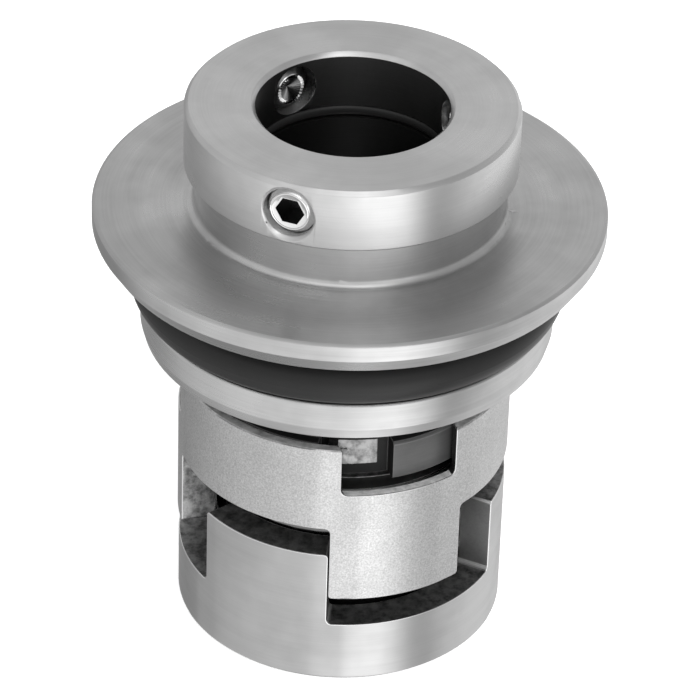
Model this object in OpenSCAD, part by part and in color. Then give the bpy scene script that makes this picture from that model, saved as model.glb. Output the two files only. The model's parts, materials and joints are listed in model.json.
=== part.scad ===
// Cartridge mechanical shaft seal, standing on the end of its lower driver.
// Z is the shaft axis. The sizes run outwards from the shaft and upwards from the base,
// so each piece takes its place from the ones that it fits.
// Angles are measured from the front of the seal, -Y, towards +X.

/* [Shaft and sleeve] */
// Diameter of the shaft that the seal clamps on
shaft_d = 22; // [18:0.5:30]
// Wall of the shaft sleeve
sleeve_wall = 1.7; // [1.3:0.1:2.4]
// Height of the sleeve's lower end above the base
sleeve_foot = 0.3; // [0.1:0.1:0.8]
// Width of the groove for the retaining ring
clip_w = 1.1; // [0.8:0.1:1.5]
// Depth of the groove for the retaining ring
clip_depth = 0.5; // [0.3:0.1:0.9]
// Radial width of the retaining ring
clip_ring_w = 2.2; // [1.6:0.1:2.3]
// Opening between the ends of the retaining ring, in degrees
clip_opening = 40; // [15:1:70]

/* [Drive collar] */
// Radial thickness of the collar
collar_wall = 8; // [7:0.1:12]
// Thread size of the set screws
screw_d = 6; // [4:0.5:8]
// Metal left above and below the set screw holes
screw_edge = 0.8; // [0.6:0.1:3]
// Depth of the set screws below the outside of the collar
screw_sink = 0.7; // [0.3:0.1:1.4]
// Distance of the screw points from the shaft
screw_point_gap = 0.3; // [0.1:0.1:1]
// Hexagon of the set screws, across flats
screw_hex = 3; // [1.5:0.5:4]
// Depth of the hexagon socket
screw_hex_depth = 3.2; // [1.5:0.1:4]
// Chamfer at the point of the set screws
screw_tip = 1.2; // [0.6:0.1:1.5]
// Angle of the first set screw
screw_angle = -21; // [-60:1:60]
// Countersink around the set screw holes
countersink = 0.45; // [0.1:0.05:0.6]
// Length of the hub inside the carrier's neck
hub_len = 5; // [3:0.1:5.2]
// Wall of the hub around the sleeve
hub_wall = 1.4; // [1:0.1:2]
// Chamfer on the collar's outer edges
collar_edge = 0.5; // [0.2:0.05:1]
// Chamfer at the mouth of the bore
bore_edge = 0.5; // [0.2:0.05:1]

/* [Seal carrier] */
// Wall of the neck under the collar
neck_wall = 3.3; // [2.5:0.1:5]
// Height of the neck above the flange
neck_h = 5.45; // [5.2:0.05:12]
// Fillet between the neck and the flange
neck_fillet = 0.9; // [0.3:0.1:1.5]
// How far the flange stands out beyond the land
flange_over = 5.51; // [3:0.1:10]
// Height of the flange's rim
flange_rim = 1.85; // [1:0.05:5]
// Chamfer on the flange's upper edge
flange_edge = 0.22; // [0.1:0.02:0.6]
// Depth of the chamfer under the flange, measured inwards
flange_lead = 1.3; // [0.4:0.1:2]
// Height of the chamfer under the flange
flange_lead_h = 2; // [0.5:0.1:3]
// Height of the groove between the flange and the land
groove_h = 7.63; // [6:0.05:12]
// How far the land stands out beyond the floor of the groove
land_depth = 3.72; // [2:0.05:5]
// Height of the land's rim
land_rim = 3.33; // [2:0.05:8]
// Chamfer under the land, measured inwards
land_lead = 0.35; // [0.1:0.05:1]
// Height of the chamfer under the land
land_lead_h = 1.3; // [0.3:0.1:2]
// Wall between the seat's pocket and the groove
pocket_wall = 1.7; // [1:0.1:4]
// Section of the O-ring around the carrier
carrier_cord = 5; // [3:0.1:5.5]

/* [Stationary seat] */
// Height of the seat from its face to the pocket's ceiling
seat_h = 6.2; // [5.8:0.1:9]
// Height of the seat's wide front
seat_front = 2.4; // [1.5:0.1:3]
// Section of the O-ring around the seat
seat_cord = 1.78; // [1.2:0.02:2]
// How deep the seat's face lies inside the carrier
seat_recess = 1.25; // [0.5:0.05:3]
// Diameter of the pin that stops the seat from turning
pin_d = 1.5; // [1:0.1:1.6]
// How far the pin reaches out of the carrier
pin_reach = 1.3; // [0.6:0.1:1.5]
// How far the pin lies inside the seat's back
pin_inset = 0.1; // [0:0.05:0.5]
// Length of the pin pressed into the carrier
pin_hold = 3.5; // [2:0.1:6]

/* [Rotating seal ring] */
// Section of the O-ring between the ring and the sleeve
ring_cord = 1.78; // [1.4:0.02:2.4]
// Wall of the ring behind its notches
ring_wall = 1.15; // [0.8:0.05:2]
// Depth of the notches in the ring's side
notch_depth = 1.9; // [1:0.1:3]
// Width of the notches, in degrees
notch_w = 28.5; // [20:0.5:40]
// Height of the ring's wide body
ring_body_h = 5.1; // [4:0.1:7]
// Height of the ring's nose, up to the seal face
nose_h = 6.7; // [5:0.1:10]
// How far the nose stands out beyond the floor of the notches
nose_step = 0.4; // [0.2:0.05:1]

/* [Upper driver] */
// Gap between the seal ring and the driver's rim
rim_gap = 0.65; // [0.4:0.05:1]
// Wall of the rim around the seal ring
rim_wall = 1.19; // [0.8:0.05:2]
// Height of the rim above the cup's floor
rim_h = 7.55; // [6:0.05:9]
// Depth of the slots in the rim
slot_h = 6.25; // [3:0.05:7]
// Width of the slots, in degrees
slot_w = 42; // [20:0.5:60]
// Corner radius of the slots
slot_corner = 0.8; // [0.3:0.1:2]
// Height of the closed wall between the claws and the cup's floor
cup_base = 3.55; // [2.5:0.05:6]
// Height of the seat under the seal ring
ring_seat_h = 1.8; // [0.5:0.1:2.5]
// Thickness of the web between the spring and the seal ring
web_h = 3.6; // [2.5:0.1:4.5]
// Width of the driving lugs, in degrees
lug_w = 14.2; // [8:0.1:18]
// Height of the lugs' lower ends above the cup's floor
lug_foot = 5.1; // [2:0.1:6]
// How far the lugs reach above the rim
lug_over = 0.9; // [0:0.1:2]
// How far the lugs start behind the rim, before the slot's edge, in degrees
lug_lead = 1.7; // [1:0.1:4]
// Width of the lugs' roots behind the rim, in degrees
lug_root_w = 7; // [4:0.5:12]

/* [Claws] */
// Angle of the first claw of the upper driver
claw_angle = 21.15; // [0:0.05:60]
// Width of the upper driver's claws, in degrees
upper_claw_w = 48.7; // [30:0.1:52]
// Width of the lower driver's claws, in degrees
lower_claw_w = 50; // [30:0.1:52]
// Gap between claws on the driving side, in degrees
claw_gap = 0.45; // [0.3:0.05:2]
// Length of the claws
claw_len = 9.92; // [6:0.05:14]
// Free travel between the claws' ends and the opposite wall
claw_travel = 3.78; // [2:0.02:6]
// Fillet at the roots of the claws
claw_root = 0.7; // [0.2:0.1:1.5]
// Corner radius at the ends of the claws
claw_tip = 0.5; // [0.2:0.1:1.5]

/* [Lower driver] */
// Height of the closed ring below the claws
base_ring_h = 8.16; // [7:0.05:12]
// How much smaller the lower driver is than the upper one, in radius
lower_step = 0.15; // [0:0.05:1]
// Depth of the recess for the retaining ring
clip_recess = 2; // [1.8:0.1:3]
// Thickness of the floor that carries the spring
floor_h = 2.2; // [1.5:0.1:3]
// Chamfer around the base
base_edge = 0.5; // [0.2:0.1:1]

/* [Spring] */
// Diameter of the spring wire
spring_wire = 1.8; // [1.2:0.1:2]
// Number of turns of the spring
spring_turns = 5.5; // [4:0.5:7]
// Gap between the spring and the sleeve, and between the spring and the claws
spring_gap = 0.4; // [0.3:0.05:0.8]
// Thickness of the washer on top of the spring
washer_h = 0.8; // [0.5:0.1:1.5]

/* [Clearances] */
// Clearance between pieces that turn past each other
turn_gap = 0.3; // [0.2:0.05:0.5]
// Clearance of a running fit
run_gap = 0.04; // [0.02:0.01:0.08]
// Clearance around an O-ring that rests in its groove
cord_gap = 0.02; // [0.01:0.01:0.05]
// Clearance around the sleeve inside the stationary seat
seat_gap = 0.9; // [0.5:0.1:1.5]

/* [Hidden] */
$fn = 96;
repeats = 3;
pitch_angle = 360 / repeats;
eps = 0.01;
beyond = 2;

// Radii, from the shaft outwards
shaft_r = shaft_d / 2;
sleeve_r = shaft_r + sleeve_wall;
clip_r = sleeve_r - clip_depth;
hub_r = sleeve_r + hub_wall;
neck_bore_r = hub_r + turn_gap;
neck_r = neck_bore_r + neck_wall;
collar_r = shaft_r + collar_wall;
claw_in_r = sleeve_r + spring_wire + 2 * spring_gap;
ring_bore_r = sleeve_r + turn_gap;
cord_bore_r = sleeve_r + ring_cord;
notch_r = cord_bore_r + ring_wall;
ring_r = notch_r + notch_depth;
nose_r = notch_r + nose_step;
rim_in_r = ring_r + rim_gap;
upper_r = rim_in_r + rim_wall;
lower_r = upper_r - lower_step;
ring_seat_r = notch_r + nose_step + turn_gap;
lug_in_r = notch_r + turn_gap;
seat_bore_r = sleeve_r + seat_gap;
seat_back_r = nose_r + 2 * turn_gap;
pocket_r = seat_back_r + seat_cord + cord_gap;
seat_front_r = pocket_r - turn_gap;
groove_r = pocket_r + pocket_wall;
land_r = groove_r + land_depth;
flange_r = land_r + flange_over;
flange_edge_w = 2 * flange_edge;
pin_pos_r = seat_back_r - pin_d / 2 - pin_inset;

// Heights, from the base upwards
floor_z = clip_recess + floor_h;
lower_tip_z = base_ring_h + claw_len;
upper_tip_z = base_ring_h + claw_travel;
upper_root_z = lower_tip_z + claw_travel;
cup_floor_z = upper_root_z + cup_base;
ring_z = cup_floor_z + ring_seat_h;
web_z = ring_z - web_h;
spring_top_z = web_z - washer_h;
rim_z = cup_floor_z + rim_h;
slot_z = rim_z - slot_h;
shoulder_z = ring_z + ring_body_h;
face_z = shoulder_z + nose_h;
seat_shoulder_z = face_z + seat_front;
ceiling_z = face_z + seat_h;
land_z = face_z - seat_recess;
land_rim_z = land_z + land_lead_h;
land_top_z = land_rim_z + land_rim;
flange_z = land_top_z + groove_h;
flange_rim_z = flange_z + flange_lead_h;
flange_top_z = flange_rim_z + flange_rim + flange_edge;
collar_z = flange_top_z + neck_h;
collar_h = screw_d + 2 * screw_edge;
collar_top_z = collar_z + collar_h;
screw_z = collar_z + collar_h / 2;
hub_z = collar_z - hub_len;
housing_web = 0.15;
housing_top_z = collar_z + screw_edge - housing_web;
shaft_cord = sleeve_wall - 2 * cord_gap;
sleeve_top_z = housing_top_z - shaft_cord;
screw_len = collar_wall - screw_sink - screw_point_gap;
clip_z = clip_recess - clip_w;

// Claw places, measured from the front
lower_claw_angle = claw_angle - upper_claw_w / 2 - claw_gap - lower_claw_w / 2;
lug_angle = claw_angle - slot_w / 2 - lug_lead;

steel = [0.72, 0.73, 0.74];
satin = [0.62, 0.63, 0.64];
cast = [0.70, 0.70, 0.69];
carbide = [0.30, 0.31, 0.32];
black_rubber = [0.07, 0.07, 0.07];

// Turns its children from the front, -Y, towards +X
module at_angle(a) {
    rotate([0, 0, a - 90]) children();
}

// Repeats its children around the shaft
module around() {
    for (i = [0 : repeats - 1]) rotate([0, 0, i * pitch_angle]) children();
}

// Plain ring between two radii
module tube(r_in, r_out, z_low, z_high) {
    translate([0, 0, z_low]) difference() {
        cylinder(h = z_high - z_low, r = r_out);
        translate([0, 0, -beyond]) cylinder(h = z_high - z_low + 2 * beyond, r = r_in);
    }
}

// Part of a ring, from one angle to another
module ring_sector(r_in, r_out, z_low, z_high, from, to) {
    at_angle(from) rotate_extrude(angle = to - from)
        translate([r_in, z_low]) square([r_out - r_in, z_high - z_low]);
}

// O-ring of a given section, lying at a given inner radius and height
module o_ring(r_in, z_low, section) {
    rotate_extrude() translate([r_in + section / 2, z_low + section / 2]) circle(d = section);
}

// Mirrors its children, but only where asked
module flip(wanted, direction) {
    if (wanted) mirror(direction) children();
    else children();
}

// Outline of the opening between two claws: its corners are filleted at the bottom, and it flares
// at the top, where the ends of the claws are rounded
module opening_outline(half_w, narrow) {
    root = [for (a = [0 : 15 : 90])
        [half_w - narrow * claw_root * (1 - sin(a)), claw_root * (1 - cos(a))]];
    tip = [for (a = [0 : 22.5 : 90])
        [half_w + narrow * claw_tip * (1 - cos(a)), claw_len + claw_tip * (sin(a) - 1)]];
    last = tip[len(tip) - 1];
    past = 2 * last - tip[len(tip) - 2];
    side = concat(root, tip, [past, [past[0], claw_len + beyond]]);
    polygon(concat(side, [for (i = [len(side) - 1 : -1 : 0]) [-side[i][0], side[i][1]]]));
}

// Opening between two claws, which widens outwards so that its sides point at the axis
module claw_opening(mid, width, root_z, downwards) {
    start_r = claw_in_r * cos(width / 2) - 1;
    end_r = upper_r + beyond;
    narrow = start_r / (upper_r * cos(width / 2));
    at_angle(mid) translate([start_r, 0, root_z]) rotate([90, 0, 90])
        linear_extrude(height = end_r - start_r, scale = [end_r / start_r, 1], slices = 1)
            flip(downwards, [0, 1]) opening_outline(start_r * tan(width / 2), narrow);
}

module drive_collar() {
    color(steel) difference() {
        rotate_extrude() polygon([
            [sleeve_r, hub_z], [hub_r, hub_z], [hub_r, collar_z],
            [collar_r - collar_edge / 2, collar_z], [collar_r, collar_z + collar_edge / 2],
            [collar_r, collar_top_z - collar_edge], [collar_r - collar_edge, collar_top_z],
            [shaft_r + bore_edge, collar_top_z], [shaft_r, collar_top_z - bore_edge],
            [shaft_r, housing_top_z], [sleeve_r, housing_top_z]]);
        around() at_angle(screw_angle) translate([0, 0, screw_z]) rotate([0, 90, 0]) {
            cylinder(h = collar_r + beyond, d = screw_d);
            translate([0, 0, collar_r - countersink])
                cylinder(h = 2 * countersink, d1 = screw_d, d2 = screw_d + 4 * countersink);
        }
    }
}

// Set screw with a hexagon socket and a cup point, lying along its hole
module set_screw(index) {
    tip_r = shaft_r + screw_point_gap;
    body_r = screw_d / 2 - run_gap;
    cup_floor_r = 0.2;
    color(satin) at_angle(screw_angle + index * pitch_angle)
        translate([tip_r, 0, screw_z]) rotate([0, 90, 0]) difference() {
            rotate_extrude() polygon([
                [0, 0], [body_r - screw_tip, 0], [body_r, screw_tip],
                [body_r, screw_len - countersink], [body_r - countersink, screw_len], [0, screw_len]]);
            translate([0, 0, screw_len - screw_hex_depth])
                cylinder(h = screw_hex_depth + beyond, d = screw_hex / cos(30), $fn = 6);
            translate([0, 0, -eps])
                cylinder(h = screw_tip + eps, r1 = body_r - screw_tip - countersink / 2, r2 = cup_floor_r);
        }
}

module shaft_sleeve() {
    color(steel) rotate_extrude() polygon([
        [shaft_r, sleeve_foot + bore_edge], [shaft_r + bore_edge, sleeve_foot],
        [sleeve_r, sleeve_foot], [sleeve_r, clip_z], [clip_r, clip_z], [clip_r, clip_recess],
        [sleeve_r, clip_recess], [sleeve_r, sleeve_top_z], [shaft_r, sleeve_top_z]]);
}

// Sealing ring between the sleeve, the collar and the shaft, at its pressed size
module shaft_o_ring() {
    color(black_rubber) o_ring(shaft_r + cord_gap, sleeve_top_z, shaft_cord);
}

module seal_carrier() {
    color(steel) difference() {
        rotate_extrude() difference() {
            polygon([
                [neck_bore_r, ceiling_z], [pocket_r, ceiling_z], [pocket_r, land_z + bore_edge],
                [pocket_r + bore_edge, land_z], [land_r - land_lead, land_z], [land_r, land_rim_z],
                [land_r, land_top_z - flange_edge], [land_r - flange_edge, land_top_z],
                [groove_r, land_top_z], [groove_r, flange_z], [flange_r - flange_lead, flange_z],
                [flange_r, flange_rim_z], [flange_r, flange_top_z - flange_edge],
                [flange_r - flange_edge_w, flange_top_z], [neck_r + neck_fillet, flange_top_z],
                [neck_r + neck_fillet, flange_top_z + neck_fillet], [neck_r, flange_top_z + neck_fillet],
                [neck_r, collar_z - flange_edge], [neck_r - flange_edge, collar_z],
                [neck_bore_r + flange_edge, collar_z], [neck_bore_r, collar_z - flange_edge]]);
            translate([neck_r + neck_fillet, flange_top_z + neck_fillet]) circle(r = neck_fillet);
        }
        at_angle(claw_angle) translate([pin_pos_r, 0, ceiling_z - beyond])
            cylinder(h = pin_hold + beyond, d = pin_d);
    }
}

module carrier_o_ring() {
    color(black_rubber) o_ring(groove_r + cord_gap, land_top_z + cord_gap, carrier_cord);
}

module stationary_seat() {
    face_edge = 0.3;
    color(carbide) difference() {
        rotate_extrude() polygon([
            [seat_bore_r, face_z + face_edge], [seat_bore_r + face_edge, face_z],
            [seat_front_r - face_edge, face_z], [seat_front_r, face_z + face_edge],
            [seat_front_r, seat_shoulder_z], [seat_back_r, seat_shoulder_z],
            [seat_back_r, ceiling_z], [seat_bore_r, ceiling_z]]);
        at_angle(claw_angle) {
            translate([pin_pos_r, 0, ceiling_z - pin_reach - turn_gap])
                cylinder(h = seat_h, d = pin_d + turn_gap);
            translate([pin_pos_r, -pin_d / 2 - turn_gap / 2, ceiling_z - pin_reach - turn_gap])
                cube([pin_d + beyond, pin_d + turn_gap, seat_h]);
        }
    }
}

module seat_o_ring() {
    color(black_rubber) o_ring(seat_back_r + cord_gap / 2, seat_shoulder_z + cord_gap, seat_cord);
}

module seat_pin() {
    color(steel) at_angle(claw_angle) translate([pin_pos_r, 0, ceiling_z - pin_reach])
        cylinder(h = pin_reach + pin_hold, d = pin_d);
}

module rotating_seal_ring() {
    face_edge = 0.3;
    notch_mid = lug_angle + lug_w / 2 - turn_gap;
    color(carbide) difference() {
        rotate_extrude() polygon([
            [cord_bore_r, ring_z], [ring_r - face_edge, ring_z], [ring_r, ring_z + face_edge],
            [ring_r, shoulder_z - face_edge], [ring_r - face_edge, shoulder_z], [nose_r, shoulder_z],
            [nose_r, face_z - face_edge], [nose_r - face_edge, face_z],
            [ring_bore_r + face_edge, face_z], [ring_bore_r, face_z - face_edge],
            [ring_bore_r, ring_z + ring_cord + turn_gap], [cord_bore_r, ring_z + ring_cord + turn_gap]]);
        around() ring_sector(notch_r, ring_r + beyond, ring_z - beyond, shoulder_z + 2 * lug_over,
                             notch_mid - notch_w / 2, notch_mid + notch_w / 2);
    }
}

module ring_o_ring() {
    color(black_rubber) o_ring(sleeve_r + run_gap, ring_z + cord_gap, ring_cord - run_gap - cord_gap);
}

// Outline of a slot in the rim, open at the top
module slot_outline(half_w) {
    translate([-half_w, slot_z]) {
        translate([0, slot_corner]) square([2 * half_w, slot_h]);
        translate([slot_corner, 0]) square([2 * (half_w - slot_corner), slot_corner + eps]);
        for (x = [slot_corner, 2 * half_w - slot_corner]) translate([x, slot_corner]) circle(r = slot_corner);
    }
}

module upper_driver() {
    opening_w = pitch_angle - upper_claw_w;
    edge = 0.15;
    lug_out_r = rim_in_r + edge;
    color(cast) {
        difference() {
            rotate_extrude() polygon([
                [claw_in_r, upper_tip_z], [upper_r - edge, upper_tip_z], [upper_r, upper_tip_z + edge],
                [upper_r, rim_z - edge], [upper_r - edge, rim_z], [rim_in_r, rim_z],
                [rim_in_r, cup_floor_z], [ring_seat_r, cup_floor_z], [ring_seat_r, ring_z],
                [ring_bore_r, ring_z], [ring_bore_r, web_z], [claw_in_r, web_z]]);
            around() {
                claw_opening(claw_angle + pitch_angle / 2, opening_w, upper_root_z, true);
                difference() {
                    at_angle(claw_angle) translate([claw_in_r, 0, 0])
                        rotate([90, 0, 90]) linear_extrude(height = upper_r - claw_in_r + beyond)
                            slot_outline(upper_r * sin(slot_w / 2));
                    cylinder(h = rim_z + beyond, r = ring_seat_r + edge);
                }
            }
        }
        around() {
            ring_sector(lug_in_r, lug_out_r, cup_floor_z + lug_foot, rim_z + lug_over,
                        lug_angle, lug_angle + lug_w);
            ring_sector(lug_in_r + edge, lug_out_r + edge, cup_floor_z + lug_foot + edge, rim_z - 2 * edge,
                        lug_angle + 2 * lug_lead - lug_root_w, lug_angle + 2 * lug_lead);
        }
    }
}

module spring_washer() {
    color(steel) tube(ring_bore_r, claw_in_r - spring_gap / 2, spring_top_z, web_z);
}

// Compression spring with closed ends that are ground flat
module seal_spring() {
    low_z = floor_z + cord_gap;
    free_h = spring_top_z - low_z;
    mid_r = sleeve_r + spring_gap + spring_wire / 2;
    wire_r = spring_wire / 2;
    closed = 1;
    steps_per_turn = 24;
    sides = 10;
    steps = spring_turns * steps_per_turn;
    end_drop = 0.25 * spring_wire;
    rise = free_h - spring_wire - 2 * closed * 0.5 * spring_wire + 2 * end_drop;
    function share(t) = min(max((t - closed) / (spring_turns - 2 * closed), 0), 1);
    function level(t) = low_z + wire_r - end_drop
        + 0.5 * spring_wire * (min(t, closed) + max(t - spring_turns + closed, 0)) + rise * share(t);
    points = [for (i = [0 : steps]) let (t = i / steps_per_turn)
        for (j = [0 : sides - 1]) let (a = 360 * j / sides, r = mid_r + wire_r * cos(a))
            [r * cos(360 * t), r * sin(360 * t), level(t) + wire_r * sin(a)]];
    skin = [for (i = [0 : steps - 1]) for (j = [0 : sides - 1]) let (k = (j + 1) % sides)
        [i * sides + j, i * sides + k, (i + 1) * sides + k, (i + 1) * sides + j]];
    start = [[for (j = [sides - 1 : -1 : 0]) j]];
    finish = [[for (j = [0 : sides - 1]) steps * sides + j]];
    color(satin) intersection() {
        polyhedron(points = points, faces = concat(skin, start, finish), convexity = 10);
        translate([0, 0, low_z]) cylinder(h = free_h, r = claw_in_r);
    }
}

module lower_driver() {
    opening_w = pitch_angle - lower_claw_w;
    color(steel) difference() {
        rotate_extrude() polygon([
            [claw_in_r, 0], [lower_r - base_edge, 0], [lower_r, base_edge],
            [lower_r, lower_tip_z], [claw_in_r, lower_tip_z], [claw_in_r, floor_z],
            [sleeve_r, floor_z], [sleeve_r, clip_recess], [claw_in_r, clip_recess]]);
        around() claw_opening(lower_claw_angle + pitch_angle / 2, opening_w, base_ring_h, false);
    }
}

module retaining_ring() {
    color(satin) ring_sector(clip_r, clip_r + clip_ring_w, clip_z, clip_recess,
                             claw_angle + clip_opening / 2, claw_angle + 360 - clip_opening / 2);
}

drive_collar();
set_screw(0);  // set_screw_1
set_screw(1);  // set_screw_2
set_screw(2);  // set_screw_3
shaft_sleeve();
shaft_o_ring();
seal_carrier();
carrier_o_ring();
stationary_seat();
seat_o_ring();
seat_pin();
rotating_seal_ring();
ring_o_ring();
upper_driver();
spring_washer();
seal_spring();
lower_driver();
retaining_ring();
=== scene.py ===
# %% [markdown]
# A cartridge shaft seal is a stack of turned, cast and lapped rings around a shaft. The CAD model
# holds every ring at its real size, so this lesson starts by loading it as a fixed frame. The
# looks are built around it: the camera and the studio first, then the finishes, then the pieces
# whose detail is too fine for the CAD model.

# %% Load the frame
import json
import math

import bpy
from mathutils import Matrix, Vector

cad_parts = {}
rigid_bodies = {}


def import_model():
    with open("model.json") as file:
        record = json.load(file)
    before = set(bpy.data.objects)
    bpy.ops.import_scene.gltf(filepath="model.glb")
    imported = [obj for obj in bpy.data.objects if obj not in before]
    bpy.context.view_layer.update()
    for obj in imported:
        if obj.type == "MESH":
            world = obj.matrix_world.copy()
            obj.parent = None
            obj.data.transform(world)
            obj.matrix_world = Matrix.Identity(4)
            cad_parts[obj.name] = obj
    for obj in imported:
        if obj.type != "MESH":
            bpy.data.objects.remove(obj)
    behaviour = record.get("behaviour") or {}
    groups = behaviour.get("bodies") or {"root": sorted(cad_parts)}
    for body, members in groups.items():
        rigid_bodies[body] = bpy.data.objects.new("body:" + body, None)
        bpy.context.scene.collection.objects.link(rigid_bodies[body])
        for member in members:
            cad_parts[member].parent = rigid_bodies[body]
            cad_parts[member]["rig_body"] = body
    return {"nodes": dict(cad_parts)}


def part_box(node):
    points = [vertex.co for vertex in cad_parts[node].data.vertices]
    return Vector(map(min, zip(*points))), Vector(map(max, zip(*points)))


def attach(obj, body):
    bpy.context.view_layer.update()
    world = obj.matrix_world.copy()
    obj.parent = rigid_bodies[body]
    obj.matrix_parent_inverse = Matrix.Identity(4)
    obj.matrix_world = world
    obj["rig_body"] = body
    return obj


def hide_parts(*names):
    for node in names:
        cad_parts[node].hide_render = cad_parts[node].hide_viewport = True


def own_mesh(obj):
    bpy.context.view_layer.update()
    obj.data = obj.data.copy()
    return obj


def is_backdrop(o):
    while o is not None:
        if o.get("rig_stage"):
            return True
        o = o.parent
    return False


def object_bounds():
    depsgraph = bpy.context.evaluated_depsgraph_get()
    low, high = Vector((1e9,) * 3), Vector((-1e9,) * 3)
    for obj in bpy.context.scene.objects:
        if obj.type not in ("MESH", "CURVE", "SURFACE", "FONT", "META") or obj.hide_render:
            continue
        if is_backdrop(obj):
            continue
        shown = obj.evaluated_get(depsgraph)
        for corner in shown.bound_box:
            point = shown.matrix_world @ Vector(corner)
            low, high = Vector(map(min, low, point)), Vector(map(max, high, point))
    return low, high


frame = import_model()
cad_low, cad_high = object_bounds()
MM = 0.001
seal_height = cad_high.z - cad_low.z
print("CAD nodes:", len(frame["nodes"]), "height in mm:", round(seal_height / MM, 2))

# %% [markdown]
# Blender's operators work on whatever is selected. Two small helpers keep that in order for the
# whole lesson: one selects an object alone, the other makes one and leaves it selected alone.

# %% Making objects
def select_only(piece):
    bpy.ops.object.select_all(action="DESELECT")
    piece.select_set(True)
    bpy.context.view_layer.objects.active = piece


def new_object(name, data):
    made = bpy.data.objects.new(name, data)
    bpy.context.scene.collection.objects.link(made)
    select_only(made)
    return made


# %% [markdown]
# The photograph was taken from the front and well above, with a long lens and the camera rolled
# slightly to the side. The camera is built from those few facts: how far it stands off, how
# steeply it looks down, how much it is rolled, and which point it aims at.

# %% Camera
camera_distance = 541 * MM
camera_elevation = math.radians(34.286)
camera_roll = math.radians(1.866)
aim_right = 1.43 * MM
aim_up = 27.76 * MM
focal_length = 231.03
sensor_width = 36
nearest_seen = 10 * MM
farthest_seen = 20

forward = Vector((0, math.cos(camera_elevation), -math.sin(camera_elevation)))
plain_up = Vector((0, math.sin(camera_elevation), math.cos(camera_elevation)))
plain_right = Vector((1, 0, 0))
right = plain_right * math.cos(camera_roll) + plain_up * math.sin(camera_roll)
up = plain_up * math.cos(camera_roll) - plain_right * math.sin(camera_roll)

camera = new_object("camera", bpy.data.cameras.new("camera"))
camera.data.lens = focal_length
camera.data.sensor_width = sensor_width
camera.data.clip_start = nearest_seen
camera.data.clip_end = farthest_seen
camera_place = right * aim_right + up * aim_up - forward * camera_distance
turned = Matrix((right, up, -forward)).transposed().to_4x4()
camera.matrix_world = Matrix.Translation(camera_place) @ turned
bpy.context.scene.camera = camera
print("camera at", [round(c / MM) for c in camera_place], "mm")

# %% [markdown]
# Metal has almost no colour of its own: it shows the room. A photographer therefore surrounds it
# with large white cards, and leaves a few darker gaps between them that draw its round shape. The
# world does the same here. It is an even grey for matt surfaces, plain white for the camera, and
# for reflections three rings of cards whose brightness depends on the compass direction: upright
# sides show the low ring, flat tops the middle one and chamfers the high one.

# %% Studio: helpers for node trees
def node_tree(owner):
    owner.use_nodes = True
    owner.node_tree.nodes.clear()
    return owner.node_tree


def add_node(tree, kind, **settings):
    made = tree.nodes.new(kind)
    for name, value in settings.items():
        setattr(made, name, value)
    return made


def connect(tree, value, socket):
    """The value is a number, a colour or the output of another node."""
    if isinstance(value, bpy.types.NodeSocket):
        tree.links.new(value, socket)
    else:
        socket.default_value = value


def math_node(tree, operation, *values):
    made = add_node(tree, "ShaderNodeMath", operation=operation)
    for socket, value in zip(made.inputs, values):
        connect(tree, value, socket)
    return made.outputs[0]


def separate(tree, vector):
    parts = add_node(tree, "ShaderNodeSeparateXYZ")
    tree.links.new(vector, parts.inputs[0])
    return parts.outputs


def plain_grey(level):
    return (level, level, level, 1)


# %% Studio: the cards
# Each card is a compass direction in degrees, 0 towards the camera and 90 to its right, and a
# brightness. A colour ramp holds no level above 1, so the levels are divided by RAMP_TOP in it.
LOW_CARDS = [(-180, 0.62), (-150, 0.32), (-125, 0.38), (-95, 0.72), (-60, 0.95), (-22, 1.15),
             (-2, 1.40), (17, 2.15), (39, 2.0), (53, 0.46), (66, 0.56), (84, 1.02), (130, 1.08),
             (160, 0.80), (180, 0.62)]
MIDDLE_CARDS = [(-180, 0.72), (-140, 0.66), (-100, 0.62), (-50, 0.85), (0, 1.0), (40, 0.95),
                (62, 0.55), (100, 0.50), (150, 0.64), (180, 0.72)]
HIGH_CARDS = [(-180, 0.72), (-150, 0.66), (-100, 0.62), (-60, 0.95), (-20, 1.35), (2, 1.8),
              (18, 2.4), (36, 1.8), (50, 0.45), (66, 0.40), (90, 0.48), (130, 0.52),
              (160, 0.66), (180, 0.72)]
RAMP_TOP = 4.0
floor_share = 0.7
zenith_brightness = 0.60
matt_brightness = 0.75


def scaled(tree, colour, factor):
    made = add_node(tree, "ShaderNodeVectorMath", operation="SCALE")
    made.inputs["Scale"].default_value = factor
    tree.links.new(colour, made.inputs[0])
    return made.outputs[0]


def card_ring(tree, compass_share, cards):
    ramp = add_node(tree, "ShaderNodeValToRGB")
    tree.links.new(compass_share, ramp.inputs[0])
    ramp.color_ramp.interpolation = "B_SPLINE"
    stops = ramp.color_ramp.elements
    while len(stops) < len(cards):
        stops.new(0.5)
    for stop, (degrees, level) in zip(stops, cards):
        stop.position = 0.5 + degrees / 360
        stop.color = plain_grey(level / RAMP_TOP)
    return scaled(tree, ramp.outputs["Color"], RAMP_TOP)


def mixed(tree, share, first, second):
    mix = add_node(tree, "ShaderNodeMix", data_type="RGBA")
    tree.links.new(share, mix.inputs["Factor"])
    connect(tree, first, mix.inputs["A"])
    connect(tree, second, mix.inputs["B"])
    return mix.outputs["Result"]


def blend_by_height(tree, height, low, high, below, above):
    share = add_node(tree, "ShaderNodeMapRange", interpolation_type="SMOOTHSTEP")
    share.inputs["From Min"].default_value = low
    share.inputs["From Max"].default_value = high
    tree.links.new(height, share.inputs["Value"])
    return mixed(tree, share.outputs[0], below, above)


def seen_by_camera(tree, path):
    return math_node(tree, "MAXIMUM", path["Is Camera Ray"], path["Is Transmission Ray"])


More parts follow.
